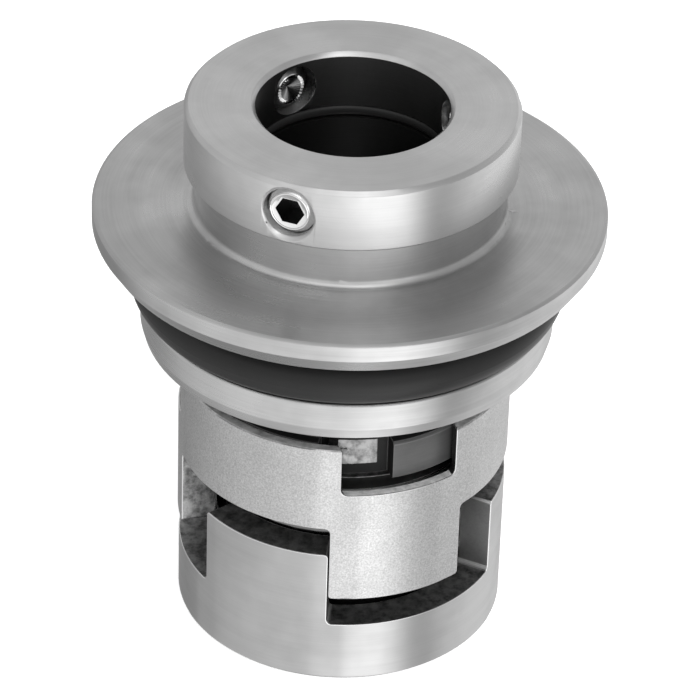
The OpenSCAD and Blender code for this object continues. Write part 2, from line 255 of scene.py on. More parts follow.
# %% Studio: the world
world = bpy.data.worlds.new("studio")
bpy.context.scene.world = world
tree = node_tree(world)
x, y, height = separate(tree, add_node(tree, "ShaderNodeTexCoord").outputs["Generated"])
compass = math_node(tree, "ARCTAN2", x, math_node(tree, "MULTIPLY", y, -1.0))
compass_share = math_node(tree, "MULTIPLY_ADD", compass, 0.5 / math.pi, 0.5)
low_ring = card_ring(tree, compass_share, LOW_CARDS)
middle_ring = card_ring(tree, compass_share, MIDDLE_CARDS)
high_ring = card_ring(tree, compass_share, HIGH_CARDS)
# Heights run from -1, straight down, to 1, straight up. The room starts as the low ring, dimmed
# by the floor, and each next ring takes over between two heights.
room = scaled(tree, low_ring, floor_share)
for low, high, ring in ((-0.92, -0.70, low_ring), (-0.05, 0.25, middle_ring),
                        (0.60, 0.74, high_ring), (0.88, 0.99, plain_grey(zenith_brightness))):
    room = blend_by_height(tree, height, low, high, room, ring)
path = add_node(tree, "ShaderNodeLightPath").outputs
room = mixed(tree, path["Is Glossy Ray"], plain_grey(matt_brightness), room)
room = mixed(tree, seen_by_camera(tree, path), room, plain_grey(1))
background = add_node(tree, "ShaderNodeBackground")
tree.links.new(room, background.inputs["Color"])
tree.links.new(background.outputs[0], add_node(tree, "ShaderNodeOutputWorld").inputs[0])
bpy.context.scene.view_settings.view_transform = "Standard"
print("cards in the rings:", len(LOW_CARDS), len(MIDDLE_CARDS), len(HIGH_CARDS))

# %% [markdown]
# Two soft lamps do the rest. The key stands above the camera and a little to its right, where the
# photograph's highlight comes from. The fill is weaker and stands on the left. Both only light the
# matt surfaces and cast the shadow: in the steel they would show as hard spots beside the cards.

# %% Studio: the lamps
def compass_direction(degrees):
    """A level direction, 0 towards the camera and 90 to its right."""
    return Vector((math.sin(math.radians(degrees)), -math.cos(math.radians(degrees)), 0))


def soft_lamp(name, compass_deg, elevation_deg, distance, size, power):
    elevation = math.radians(elevation_deg)
    target = Vector((0, 0, seal_height / 2))
    away = compass_direction(compass_deg) * math.cos(elevation) + Vector((0, 0, math.sin(elevation)))
    light = bpy.data.lights.new(name, "AREA")
    light.shape = "RECTANGLE"
    light.size, light.size_y = size
    light.energy = power
    lamp = new_object(name, light)
    lamp.location = target + away * distance
    lamp.rotation_euler = (-away).to_track_quat("-Z", "Y").to_euler()
    lamp.visible_glossy = False
    return lamp


key = soft_lamp("key_lamp", compass_deg=20, elevation_deg=48, distance=0.7, size=(0.22, 0.5), power=5.5)
fill = soft_lamp("fill_lamp", compass_deg=-70, elevation_deg=40, distance=0.8, size=(0.4, 0.4), power=2.0)
print("lamps:", key.name, fill.name)

# %% [markdown]
# The floor is a plain white sheet. Where the lamps reach it, it has to come out as white as the
# background, so it glows a little, but only for the camera. The seal's shadow still darkens it.
# It stays out of the metal's reflections, where the rings of cards take its place.

# %% Studio: the floor
floor_side = 6
floor_level = 0.8
floor_glow = 0.42

bpy.ops.mesh.primitive_plane_add(size=floor_side)
floor = bpy.context.object
floor.name = "floor"
floor.visible_glossy = False
paper = bpy.data.materials.new("floor_paper")
tree = node_tree(paper)
matt = add_node(tree, "ShaderNodeBsdfDiffuse")
matt.inputs["Color"].default_value = plain_grey(floor_level)
seen = seen_by_camera(tree, add_node(tree, "ShaderNodeLightPath").outputs)
glow = add_node(tree, "ShaderNodeEmission")
tree.links.new(math_node(tree, "MULTIPLY", seen, floor_glow), glow.inputs["Strength"])
both = add_node(tree, "ShaderNodeAddShader")
tree.links.new(matt.outputs[0], both.inputs[0])
tree.links.new(glow.outputs[0], both.inputs[1])
tree.links.new(both.outputs[0], add_node(tree, "ShaderNodeOutputMaterial").inputs[0])
floor.data.materials.append(paper)
floor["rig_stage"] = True
print("floor level and glow:", floor_level, floor_glow)

# %% [markdown]
# Every finish here is a Principled shader, and most of them share the same few effects. Each effect
# is a node group, so it is drawn once and every material only chooses its own values. The first
# one is what a lathe leaves behind: fine grooves that run around the shaft. On a flat face they
# are circles of different radius, on a side they are rings at different height, so the pattern
# changes quickly with radius and height and only slowly with the direction around the shaft.

# %% Finish helpers: groups and their sockets
# On the axis itself there is no way round the shaft, so the radius counts as at least this
LEAST_RADIUS = 0.1 * MM


def shader_group(name, inputs, outputs):
    group = bpy.data.node_groups.new(name, "ShaderNodeTree")
    for socket_name, value in inputs.items():
        socket = group.interface.new_socket(socket_name, in_out="INPUT", socket_type="NodeSocketFloat")
        socket.default_value = value
    for socket_name, kind in outputs.items():
        group.interface.new_socket(socket_name, in_out="OUTPUT", socket_type=kind)
    entry = add_node(group, "NodeGroupInput")
    leave = add_node(group, "NodeGroupOutput")
    return group, entry.outputs, leave.inputs


def noise(tree, vector, scale, detail=2.0, roughness=0.5, fourth=None):
    made = add_node(tree, "ShaderNodeTexNoise", noise_dimensions="4D" if fourth else "3D")
    made.inputs["Detail"].default_value = detail
    made.inputs["Roughness"].default_value = roughness
    tree.links.new(vector, made.inputs["Vector"])
    connect(tree, scale, made.inputs["Scale"])
    if fourth:
        connect(tree, fourth, made.inputs["W"])
    return made.outputs["Fac"]


def spread(tree, value, low, high, new_low=0.0, new_high=1.0, smooth=False):
    made = add_node(tree, "ShaderNodeMapRange")
    made.interpolation_type = "SMOOTHSTEP" if smooth else "LINEAR"
    tree.links.new(value, made.inputs["Value"])
    for name, number in (("From Min", low), ("From Max", high), ("To Min", new_low), ("To Max", new_high)):
        made.inputs[name].default_value = number
    return made.outputs[0]


def blended(tree, first, share, second):
    """The first mask by its share, and the second by the rest."""
    return math_node(tree, "ADD", math_node(tree, "MULTIPLY", first, share),
                     math_node(tree, "MULTIPLY", second, 1 - share))


def shaft_coordinates(tree, sweep):
    """Distance from the shaft, height, and a vector whose X and Y go once round the shaft."""
    x, y, z = separate(tree, add_node(tree, "ShaderNodeTexCoord").outputs["Object"])
    radius = math_node(tree, "SQRT", math_node(tree, "ADD", math_node(tree, "MULTIPLY", x, x),
                                               math_node(tree, "MULTIPLY", y, y)))
    heading = add_node(tree, "ShaderNodeCombineXYZ")
    for axis, source in (("X", x), ("Y", y)):
        unit = math_node(tree, "DIVIDE", source, math_node(tree, "MAXIMUM", radius, LEAST_RADIUS))
        tree.links.new(math_node(tree, "MULTIPLY", unit, sweep), heading.inputs[axis])
    return radius, z, heading


# %% Effect: turning marks
# The broad bands repeat more slowly than the grooves, by this factor
BROAD_BANDS = 0.12


def turning_marks_group():
    group, given, result = shader_group(
        "turning_marks", {"Grooves per metre": 3000.0, "Length": 2.0},
        {"Height": "NodeSocketFloat", "Streaks": "NodeSocketFloat"})
    radius, z, heading = shaft_coordinates(group, given["Length"])
    across = math_node(group, "MULTIPLY", radius, given["Grooves per metre"])
    along = math_node(group, "MULTIPLY", z, given["Grooves per metre"])
    group.links.new(across, heading.inputs["Z"])
    fine = noise(group, heading.outputs[0], 1.0, detail=3.0, roughness=0.65, fourth=along)
    broad = add_node(group, "ShaderNodeCombineXYZ")
    group.links.new(math_node(group, "MULTIPLY", across, BROAD_BANDS), broad.inputs["X"])
    group.links.new(math_node(group, "MULTIPLY", along, BROAD_BANDS), broad.inputs["Y"])
    bands = noise(group, broad.outputs[0], 1.0)
    group.links.new(fine, result["Height"])
    group.links.new(blended(group, fine, 0.6, bands), result["Streaks"])
    return group


turning_marks = turning_marks_group()
print("effect:", turning_marks.name)

# %% [markdown]
# Hands and cloths leave their own traces over the grooves: broad patches that reach outwards from
# the shaft, a little paler or darker than their neighbours. Their noise changes slowly both around
# the shaft and outwards, and a start value gives every piece patches of its own.
#
# The third effect is grain: the tiny craters of a blasted casting, or the dull skin of rubber.
# Two layers of noise are laid over each other, a fine one for the craters themselves and a coarse
# one that lets them lie closer together in some places than in others.

# %% Effect: wiped patches
def wiped_patches_group():
    group, given, result = shader_group(
        "wiped_patches", {"Sectors": 1.6, "Bands per metre": 70.0, "Start": 0.0},
        {"Patches": "NodeSocketFloat"})
    radius, z, heading = shaft_coordinates(group, given["Sectors"])
    outward = math_node(group, "MULTIPLY", math_node(group, "ADD", radius, z), given["Bands per metre"])
    group.links.new(outward, heading.inputs["Z"])
    patches = noise(group, heading.outputs[0], 1.0, detail=4.0, roughness=0.6, fourth=given["Start"])
    group.links.new(spread(group, patches, 0.36, 0.62, smooth=True), result["Patches"])
    return group


wiped_patches = wiped_patches_group()
print("effect:", wiped_patches.name)

# %% Effect: grain
def grain_group():
    group, given, result = shader_group(
        "grain", {"Grains per metre": 4000.0, "Patches per metre": 120.0},
        {"Height": "NodeSocketFloat", "Patches": "NodeSocketFloat"})
    place = add_node(group, "ShaderNodeTexCoord").outputs["Object"]
    fine = noise(group, place, given["Grains per metre"], detail=3.0, roughness=0.7)
    coarse = noise(group, place, given["Patches per metre"], detail=3.0, roughness=0.55)
    weight = spread(group, coarse, 0.3, 0.7, 0.85, 1.0)
    group.links.new(math_node(group, "MULTIPLY", fine, weight), result["Height"])
    group.links.new(coarse, result["Patches"])
    return group


grain = grain_group()
print("effect:", grain.name)

# %% [markdown]
# A finish is put together from the same few steps: a new material with its shader, the effects it
# needs, a mask that chooses between a dark and a pale grey, and a relief that tilts the light.

# %% Finish helpers: the steps of a material
QUARTER_TURN = 0.25
ROUGHNESS_STEP = 0.05


def new_finish(name, metallic, roughness, anisotropic=0.0):
    material = bpy.data.materials.new(name)
    tree = node_tree(material)
    shader = add_node(tree, "ShaderNodeBsdfPrincipled")
    shader.inputs["Metallic"].default_value = metallic
    shader.inputs["Roughness"].default_value = roughness
    shader.inputs["Anisotropic"].default_value = anisotropic
    if anisotropic:
        around = add_node(tree, "ShaderNodeTangent", direction_type="RADIAL", axis="Z")
        tree.links.new(around.outputs[0], shader.inputs["Tangent"])
        shader.inputs["Anisotropic Rotation"].default_value = QUARTER_TURN
    tree.links.new(shader.outputs[0], add_node(tree, "ShaderNodeOutputMaterial").inputs[0])
    return material, tree, shader


def effect(tree, group, **values):
    made = add_node(tree, "ShaderNodeGroup", node_tree=group)
    for name, value in values.items():
        made.inputs[name.replace("_", " ")].default_value = value
    return made.outputs


def tone(tree, shader, mask, dark, pale):
    tree.links.new(mixed(tree, mask, plain_grey(dark), plain_grey(pale)), shader.inputs["Base Color"])


def vary_roughness(tree, shader, mask, mask_range, roughness_range):
    tree.links.new(spread(tree, mask, *mask_range, *roughness_range), shader.inputs["Roughness"])


def relief(tree, shader, height, depth, strength):
    bump = add_node(tree, "ShaderNodeBump")
    bump.inputs["Distance"].default_value = depth
    bump.inputs["Strength"].default_value = strength
    tree.links.new(height, bump.inputs["Height"])
    tree.links.new(bump.outputs[0], shader.inputs["Normal"])


# %% [markdown]
# Turned stainless steel is the finish of the collar, the carrier, the sleeve and the lower driver,
# in a grey of its own for each. The sleeve, the bores and the sides of the lower claws are painted
# darker: painted shade. The steel's grooves make it shine differently along and across: a highlight
# is drawn out at right angles to them. That is anisotropy, and its direction comes from a tangent
# that runs around the shaft.

# %% Finish: turned steel
def turned_steel(name, dark, pale, roughness, grooves, depth, anisotropic=0.7, start=0.0):
    material, tree, shader = new_finish(name, metallic=1.0, roughness=roughness, anisotropic=anisotropic)
    marks = effect(tree, turning_marks, Grooves_per_metre=grooves)
    smudges = effect(tree, grain, Grains_per_metre=900.0, Patches_per_metre=90.0)
    wipes = effect(tree, wiped_patches, Start=start)
    fine = blended(tree, marks["Streaks"], 0.55, smudges["Patches"])
    mask = blended(tree, spread(tree, fine, 0.35, 0.65), 0.6, wipes["Patches"])
    tone(tree, shader, mask, dark, pale)
    vary_roughness(tree, shader, mask, (0.1, 0.9), (roughness + ROUGHNESS_STEP, roughness - ROUGHNESS_STEP))
    relief(tree, shader, marks["Height"], depth, strength=0.35)
    return material


collar_steel = turned_steel("collar_steel", dark=0.53, pale=0.67, roughness=0.31,
                            grooves=5200, depth=0.004 * MM, start=2.0)
carrier_steel = turned_steel("carrier_steel", dark=0.41, pale=0.61, roughness=0.30,
                             grooves=4200, depth=0.005 * MM, start=5.0)
driver_steel = turned_steel("driver_steel", dark=0.43, pale=0.54, roughness=0.37,
                            grooves=5200, depth=0.003 * MM, start=8.0)
# The sleeve is painted nearly black: painted shade, as it lies deep inside the seal
shaded_sleeve_steel = turned_steel("shaded_sleeve_steel", dark=0.09, pale=0.14, roughness=0.36,
                            grooves=6000, depth=0.003 * MM)
# The bores are painted dark: painted shade
shaded_bore_steel = turned_steel("shaded_bore_steel", dark=0.10, pale=0.16, roughness=0.38,
                          grooves=3600, depth=0.005 * MM)
# The sides of the lower claws are painted darker: painted shade
shaded_shoulder_steel = turned_steel("shaded_shoulder_steel", dark=0.22, pale=0.42, roughness=0.44,
                              grooves=3600, depth=0.005 * MM, anisotropic=0.0)
print("turned steels:", collar_steel.name, carrier_steel.name, driver_steel.name, shaded_sleeve_steel.name)
print("darker inside:", shaded_bore_steel.name, shaded_shoulder_steel.name)

# %% [markdown]
# The upper driver is an investment casting that was blasted to an even, slightly sparkling grain.
# The grain scatters light in all directions, so this steel has no anisotropy and more roughness.
# The lugs, the flanks of the claws and their roots get a darker, mottled skin. On the roots the
# darker tone is painted shade; on the lugs it is partly painted shade and partly the casting's
# mottled grain. The rest of the steel is plain: wire, screws and edges, and the wire is painted
# dark as shade.

# %% Finish: castings, blasted and as cast
def blasted_steel():
    material, tree, shader = new_finish("blasted_steel", metallic=1.0, roughness=0.42)
    craters = effect(tree, grain, Grains_per_metre=4800.0, Patches_per_metre=160.0)
    tone(tree, shader, spread(tree, craters["Height"], 0.30, 0.62), dark=0.39, pale=0.62)
    vary_roughness(tree, shader, craters["Patches"], (0.3, 0.7), (0.41, 0.36))
    relief(tree, shader, craters["Height"], depth=0.03 * MM, strength=0.65)
    return material


def as_cast_steel(name, dark, pale, metallic=1.0):
    material, tree, shader = new_finish(name, metallic, roughness=0.46)
    skin = effect(tree, grain, Grains_per_metre=2600.0, Patches_per_metre=900.0)
    mask = blended(tree, skin["Patches"], 0.7, skin["Height"])
    tone(tree, shader, spread(tree, mask, 0.35, 0.6), dark, pale)
    relief(tree, shader, mask, depth=0.12 * MM, strength=0.8)
    return material


cast_steel = blasted_steel()
# The lugs' darker tone is partly painted shade, and the mottling is the casting's grain
lug_skin_and_shade = as_cast_steel("lug_skin_and_shade", dark=0.13, pale=0.36)
flank_steel = as_cast_steel("flank_steel", dark=0.14, pale=0.50, metallic=0.65)
rim_steel = as_cast_steel("rim_steel", dark=0.26, pale=0.50, metallic=0.30)
# The roots' darker tone is painted shade
shaded_root_steel = as_cast_steel("shaded_root_steel", dark=0.12, pale=0.38)
print("castings:", cast_steel.name, lug_skin_and_shade.name, flank_steel.name, rim_steel.name, shaded_root_steel.name)

# %% Finish: plain steels, for worn edges and screws, and painted shade on wire, insides, socket and cup
HALF_TONE_STEP = 0.04


def plain_steel(name, level, roughness, grains):
    material, tree, shader = new_finish(name, metallic=1.0, roughness=roughness)
    craters = effect(tree, grain, Grains_per_metre=grains, Patches_per_metre=400.0)
    tone(tree, shader, craters["Patches"], level - HALF_TONE_STEP, level + HALF_TONE_STEP)
    vary_roughness(tree, shader, craters["Patches"], (0.3, 0.7),
                   (roughness + ROUGHNESS_STEP, roughness - ROUGHNESS_STEP))
    relief(tree, shader, craters["Height"], depth=0.004 * MM, strength=0.25)
    return material


worn_edge = plain_steel("worn_edge", level=0.68, roughness=0.28, grains=3000.0)
screw_steel = plain_steel("screw_steel", level=0.78, roughness=0.12, grains=2500.0)
# The wire is painted dark: painted shade on the hidden spring and small parts
shaded_wire_steel = plain_steel("shaded_wire_steel", level=0.22, roughness=0.26, grains=2500.0)
# Painted shade for the insides of the drivers
shaded_inside_steel = plain_steel("shaded_inside_steel", level=0.07, roughness=0.50, grains=4000.0)
# Painted shade in the hexagon socket
shaded_socket_steel = plain_steel("shaded_socket_steel", level=0.12, roughness=0.35, grains=4000.0)
# Painted shade in the cup point
shaded_point_steel = plain_steel("shaded_point_steel", level=0.20, roughness=0.35, grains=4000.0)
print("plain steels:", worn_edge.name, screw_steel.name, shaded_wire_steel.name)
print("darker inside:", shaded_inside_steel.name, shaded_socket_steel.name, shaded_point_steel.name)

# %% [markdown]
# The two seal faces are sintered carbide, a dense dark grey ceramic, ground to a dull sheen. The
# O-rings are black rubber: nearly no colour, a soft highlight, and a skin as fine as powder.

# %% Finish: carbide and rubber
def ground_carbide(name, dark, pale):
    material, tree, shader = new_finish(name, metallic=0.0, roughness=0.38)
    marks = effect(tree, turning_marks, Grooves_per_metre=3500.0, Length=6.0)
    clouds = effect(tree, grain, Grains_per_metre=6000.0, Patches_per_metre=220.0)
    mask = blended(tree, marks["Streaks"], 0.5, clouds["Patches"])
    tone(tree, shader, spread(tree, mask, 0.35, 0.65), dark, pale)
    relief(tree, shader, clouds["Height"], depth=0.004 * MM, strength=0.3)
    return material


# Nearly black carbide: painted shade for the notches and the faces in shade
def painted_shade_carbide():
    material, tree, shader = new_finish("painted_shade_carbide", metallic=0.0, roughness=0.55)
    shader.inputs["Specular IOR Level"].default_value = 0.25
    skin = effect(tree, grain, Grains_per_metre=5000.0, Patches_per_metre=500.0)
    tone(tree, shader, skin["Patches"], dark=0.009, pale=0.022)
    relief(tree, shader, skin["Height"], depth=0.01 * MM, strength=0.4)
    return material


def black_rubber():
    material, tree, shader = new_finish("black_rubber", metallic=0.0, roughness=0.36)
    shader.inputs["Specular IOR Level"].default_value = 0.28
    skin = effect(tree, grain, Grains_per_metre=5000.0, Patches_per_metre=150.0)
    tone(tree, shader, skin["Patches"], dark=0.007, pale=0.014)
    vary_roughness(tree, shader, skin["Patches"], (0.3, 0.7), (0.30, 0.42))
    relief(tree, shader, skin["Height"], depth=0.008 * MM, strength=0.3)
    return material


seal_carbide = ground_carbide("ground_carbide", dark=0.05, pale=0.08)
shaded_carbide = painted_shade_carbide()
ground_edge = ground_carbide("ground_edge", dark=0.08, pale=0.12)
ring_rubber = black_rubber()
print("carbide and rubber:", seal_carbide.name, shaded_carbide.name, ground_edge.name, ring_rubber.name)

# %% [markdown]
# Half of the solids need no more than a finish: the O-rings, the sleeve, the seat and the small
# parts that are hidden or nearly so. They stay the CAD model's own objects and keep their shape.

# %% Dress the CAD nodes that keep their shape
# The sleeve's and the wire parts' dark steels are painted shade
FINISH_OF = {"carrier_o_ring": ring_rubber, "shaft_o_ring": ring_rubber, "seat_o_ring": ring_rubber,
             "ring_o_ring": ring_rubber, "shaft_sleeve": shaded_sleeve_steel, "stationary_seat": seal_carbide,
             "spring_washer": shaded_wire_steel, "retaining_ring": shaded_wire_steel, "seat_pin": shaded_wire_steel}
for node, finish in FINISH_OF.items():
    slots = frame["nodes"][node].data.materials
    slots.clear()
    slots.append(finish)
print("dressed CAD nodes:", len(FINISH_OF))

# %% [markdown]
# No real edge is perfectly sharp. A lathe tool leaves a hair of a radius and a casting rather more,
# and it is that radius which catches the light. The CAD solids are exact but sharp, so each big
# piece is copied, its triangles are merged back into clean faces, and a Bevel modifier rounds the
# edges. The bevel can hand its faces a second material: the two drivers get the thin bright line
# that handling has rubbed along their edges, and the seal ring the paler line of a ground edge.

# %% Clean and rounded copies: the helpers
MERGE_DISTANCE = 0.001 * MM
FLAT_ANGLE = math.radians(0.4)
SHARP_ANGLE = math.radians(28)
CHAMFER_ANGLE = math.radians(13)
SLIVER_WIDTH = 0.3 * MM
LEAST_ROOM = 0.4 * MM
RIM_FROM_RADIUS = 22 * MM
EDGE_SEGMENTS = 2
FLAT_WEIGHT = 80


def take_on(piece, body_of):
    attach(piece, frame["nodes"][body_of]["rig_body"])
    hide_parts(body_of)


def outward_share(face):
    """1 for a face that looks straight away from the shaft, -1 for one that looks at it."""
    away = Vector((face.center.x, face.center.y, 0))
    return face.normal.dot(away.normalized()) if away.length > 0 else 0


def paint_faces(piece, material, wanted):
    if material.name not in piece.data.materials:
        piece.data.materials.append(material)
    number = piece.data.materials.find(material.name)
    chosen = [face for face in piece.data.polygons if wanted(face)]
    for face in chosen:
        face.material_index = number
    print(piece.name, "faces in", material.name + ":", len(chosen))


def select_nothing(kind):
    bpy.ops.object.mode_set(mode="EDIT")
    bpy.ops.mesh.select_mode(type=kind)
    bpy.ops.mesh.select_all(action="DESELECT")
    bpy.ops.object.mode_set(mode="OBJECT")


def select_faces(piece, wanted):
    """Leaves the piece in edit mode with only the wanted faces selected."""
    select_nothing("FACE")
    for face in piece.data.polygons:
        face.select = wanted(face)
    bpy.ops.object.mode_set(mode="EDIT")


def faces_beside_edges(mesh):
    beside = {}
    for face in mesh.polygons:
        for edge_key in face.edge_keys:
            beside.setdefault(edge_key, []).append(face)
    return beside


def join_slivers(piece):
    """A narrow strip beside a sharp edge would fold over when that edge is rounded, so it joins
    the wider strip next to it."""
    mesh = piece.data

    def narrow(face):
        heights = [mesh.vertices[index].co.z for index in face.vertices]
        return face.area < SLIVER_WIDTH * (max(heights) - min(heights))

    select_nothing("EDGE")
    beside = faces_beside_edges(mesh)
    for edge in mesh.edges:
        first, second = beside[edge.key]
        nearly_flat = first.normal.angle(second.normal) < CHAMFER_ANGLE
        edge.select = nearly_flat and (narrow(first) or narrow(second))
    bpy.ops.object.mode_set(mode="EDIT")
    bpy.ops.mesh.dissolve_edges(use_verts=True)
    bpy.ops.object.mode_set(mode="OBJECT")


def clean_copy(node, name, material):
    piece = new_object(name, frame["nodes"][node].data.copy())
    piece.data.materials.clear()
    piece.data.materials.append(material)
    bpy.ops.object.mode_set(mode="EDIT")
    bpy.ops.mesh.select_all(action="SELECT")
    bpy.ops.mesh.remove_doubles(threshold=MERGE_DISTANCE)
    bpy.ops.mesh.dissolve_limited(angle_limit=FLAT_ANGLE)
    bpy.ops.object.mode_set(mode="OBJECT")
    return piece


def sharp(first, second, ends):
    return first.normal.angle(second.normal) > SHARP_ANGLE


def sharp_and_roomy(first, second, ends):
    """Both faces beside the edge need room for the rounding, or it would fold over."""
    room = min(first.area, second.area) / (ends[0] - ends[1]).length
    return sharp(first, second, ends) and room > LEAST_ROOM


def sharp_or_on_rim(first, second, ends):
    """The chamfers on the flange's rim and the land are shallow, and the neck's fillet has to stay."""
    on_rim = Vector(ends[0][:2]).length > RIM_FROM_RADIUS
    return first.normal.angle(second.normal) > (CHAMFER_ANGLE if on_rim else SHARP_ANGLE)


def round_edges(piece, radius, wanted, edge_material=None):
    mesh = piece.data
    weights = mesh.attributes.new("bevel_weight_edge", "FLOAT", "EDGE")
    beside = faces_beside_edges(mesh)
    for edge in mesh.edges:
        ends = [mesh.vertices[index].co for index in edge.vertices]
        weights.data[edge.index].value = float(wanted(*beside[edge.key], ends))
    if edge_material:
        mesh.materials.append(edge_material)
    bevel = piece.modifiers.new("rounded_edges", "BEVEL")
    bevel.width = radius
    bevel.segments = EDGE_SEGMENTS
    bevel.limit_method = "WEIGHT"
    bevel.use_clamp_overlap = False
    bevel.material = len(mesh.materials) - 1 if edge_material else -1
    bpy.ops.object.modifier_apply(modifier=bevel.name)
    bpy.ops.object.shade_smooth_by_angle(angle=SHARP_ANGLE)
    flats = piece.modifiers.new("flats_stay_flat", "WEIGHTED_NORMAL")
    flats.mode = "FACE_AREA"
    flats.weight = FLAT_WEIGHT
    flats.keep_sharp = True
    bpy.ops.object.modifier_apply(modifier=flats.name)


# %% [markdown]
# The collar and the carrier are turned: their edges get a small radius in the same steel. Their
# bores are painted darker: painted shade. The tests that choose the faces compare where a face
# looks: outward_share is -1 for a face that looks straight at the shaft and 1 for one that looks
# straight away from it.

# %% Rounded copies: the drive collar and the carrier
STRAIGHT_IN = -0.9
INWARD = -0.3
TURNED_EDGE = 0.06 * MM

collar = clean_copy("drive_collar", "drive_collar_turned", collar_steel)
paint_faces(collar, shaded_bore_steel, lambda face: outward_share(face) < STRAIGHT_IN)
round_edges(collar, TURNED_EDGE, sharp)
take_on(collar, "drive_collar")

carrier = clean_copy("seal_carrier", "seal_carrier_turned", carrier_steel)
paint_faces(carrier, shaded_bore_steel, lambda face: outward_share(face) < INWARD)
round_edges(carrier, TURNED_EDGE, sharp_or_on_rim)
take_on(carrier, "seal_carrier")

# %% [markdown]
# Both drivers start as castings, so their edges are rounder, and they are worn bright. The lower
# one is turned on its outside. Their insides, the sides of the lower claws and the lower driver's
# upward faces are painted dark: painted shade. The faces of the claws, lugs, rim and roots each get
# the skin that they show in the photograph. The faces are found by their height, by how far out
# they reach and by where they look.

# %% Rounded copies: helpers for the drivers
SIDEWAYS = 0.3
OUTWARD = 0.7
UPWARD = 0.9
CAST_EDGE = 0.12 * MM


def widest(piece, face):
    return max(Vector(piece.data.vertices[index].co[:2]).length for index in face.vertices)


def on_flank(face):
    """A side of a claw looks neither along the shaft nor to or from it."""
    return abs(outward_share(face)) < SIDEWAYS and abs(face.normal.z) < SIDEWAYS


# %% Rounded copies: the upper driver
rim_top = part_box("upper_driver")[1].z - 0.9 * MM
slot_bottom = 26.71 * MM
slot_reach = 0.4 * MM
cup_reach = 2 * MM
claws_below = slot_bottom - 1 * MM
inside_lugs = 16.9 * MM
outside_lugs = 18.5 * MM
rim_from = 18.9 * MM


def inside_upper_driver(face):
    """The bore, the sides of the slots and the floor of the cup."""
    if face.center.z > rim_top - slot_reach:
        return False
    in_slot = face.center.z > slot_bottom - slot_reach and outward_share(face) < OUTWARD
    near_floor = abs(face.center.z - slot_bottom) < cup_reach
    return outward_share(face) < INWARD or in_slot or (near_floor and widest(upper, face) < inside_lugs)


def on_lug(face):
    high_enough = face.center.z > slot_bottom + slot_reach
    return high_enough and outward_share(face) > INWARD and widest(upper, face) < outside_lugs


upper = clean_copy("upper_driver", "upper_driver_cast", cast_steel)
join_slivers(upper)
# The bore, the slots' sides and the cup's floor get painted shade
paint_faces(upper, shaded_inside_steel, inside_upper_driver)
paint_faces(upper, lug_skin_and_shade, on_lug)
paint_faces(upper, flank_steel, lambda face: on_flank(face) and face.center.z < claws_below)
paint_faces(upper, rim_steel, lambda face: face.normal.z > UPWARD and widest(upper, face) > rim_from)
round_edges(upper, CAST_EDGE, sharp_and_roomy, worn_edge)
# The lugs' own edges are not worn, so they get the lugs' mottled skin and painted shade once more
paint_faces(upper, lug_skin_and_shade, on_lug)
take_on(upper, "upper_driver")

# %% Rounded copies: the lower driver
lower = clean_copy("lower_driver", "lower_driver_turned", driver_steel)
join_slivers(lower)
# The insides get painted shade
paint_faces(lower, shaded_inside_steel, lambda face: outward_share(face) < INWARD)
# The sides of the claws get painted shade
paint_faces(lower, shaded_shoulder_steel, on_flank)
# The upward faces of the claws and roots get painted shade
paint_faces(lower, shaded_root_steel, lambda face: face.normal.z > UPWARD)
round_edges(lower, CAST_EDGE, sharp_and_roomy, worn_edge)
take_on(lower, "lower_driver")

# %% [markdown]
# The seal ring is lapped on its end and ground on its outer side. Everywhere else it is painted
# nearly black, as painted shade, which is what makes the notches read as deep.

# %% Rounded copies: the seal ring
seal_ring = clean_copy("rotating_seal_ring", "rotating_seal_ring_lapped", seal_carbide)
ring_low, ring_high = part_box("rotating_seal_ring")
lapped_from = ring_high.z - 1 * MM
ground_side = (ring_high.x - ring_low.x) / 2 - 0.2 * MM
GROUND_EDGE = 0.08 * MM


def in_carbide_shade(face):
    ground = outward_share(face) > OUTWARD and widest(seal_ring, face) > ground_side
    return face.center.z < lapped_from and not ground


# All but the lapped end and the ground side get painted shade
paint_faces(seal_ring, shaded_carbide, in_carbide_shade)
round_edges(seal_ring, GROUND_EDGE, sharp, ground_edge)
take_on(seal_ring, "rotating_seal_ring")

# %% [markdown]
# The set screws are the most looked-at small parts. Each has a V thread, a chamfered head with a
# hexagon socket, and a cup point whose knurled rim bites into the shaft. The socket and the cup are
# painted dark: painted shade. One screw is made upright at the origin: a cylinder is divided along
# its length, its vertices are moved in and out along the helix, its lower end is inset and poked
# into the cup, and its head gets turned rings. A hexagonal cutter and a short cone are subtracted.
# Three copies are then laid into the collar.

# %% Set screw: its sizes, measured on the CAD node
# Compass directions in degrees, 120 apart
SCREW_ANGLES = {"set_screw_1": -21, "set_screw_2": 99, "set_screw_3": 219}

screw_low, screw_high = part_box("set_screw_1")
screw_radius = (screw_high.z - screw_low.z) / 2
screw_height = (screw_high.z + screw_low.z) / 2
screw_out = compass_direction(SCREW_ANGLES["set_screw_1"])
along_screw = [vertex.co.dot(screw_out) for vertex in frame["nodes"]["set_screw_1"].data.vertices]
screw_tip_at, screw_head_at = min(along_screw), max(along_screw)
screw_length = screw_head_at - screw_tip_at
print("set screw in mm:", round(2 * screw_radius / MM, 2), "by", round(screw_length / MM, 2))

# %% Set screw: the threaded blank
SCREW_SIDES = 60
SCREW_RINGS = 84
thread_pitch = 1.0 * MM
thread_depth = 0.34 * MM
point_chamfer = 1.2 * MM
head_chamfer = 0.65 * MM


def threaded_radius(angle, height):
    turn = height / thread_pitch - angle / math.tau
    groove = abs(2 * (turn % 1) - 1)
    at_point = screw_radius - point_chamfer + height
    at_head = screw_radius - head_chamfer + (screw_length - height)
    return min(screw_radius - thread_depth * groove, at_point, at_head)


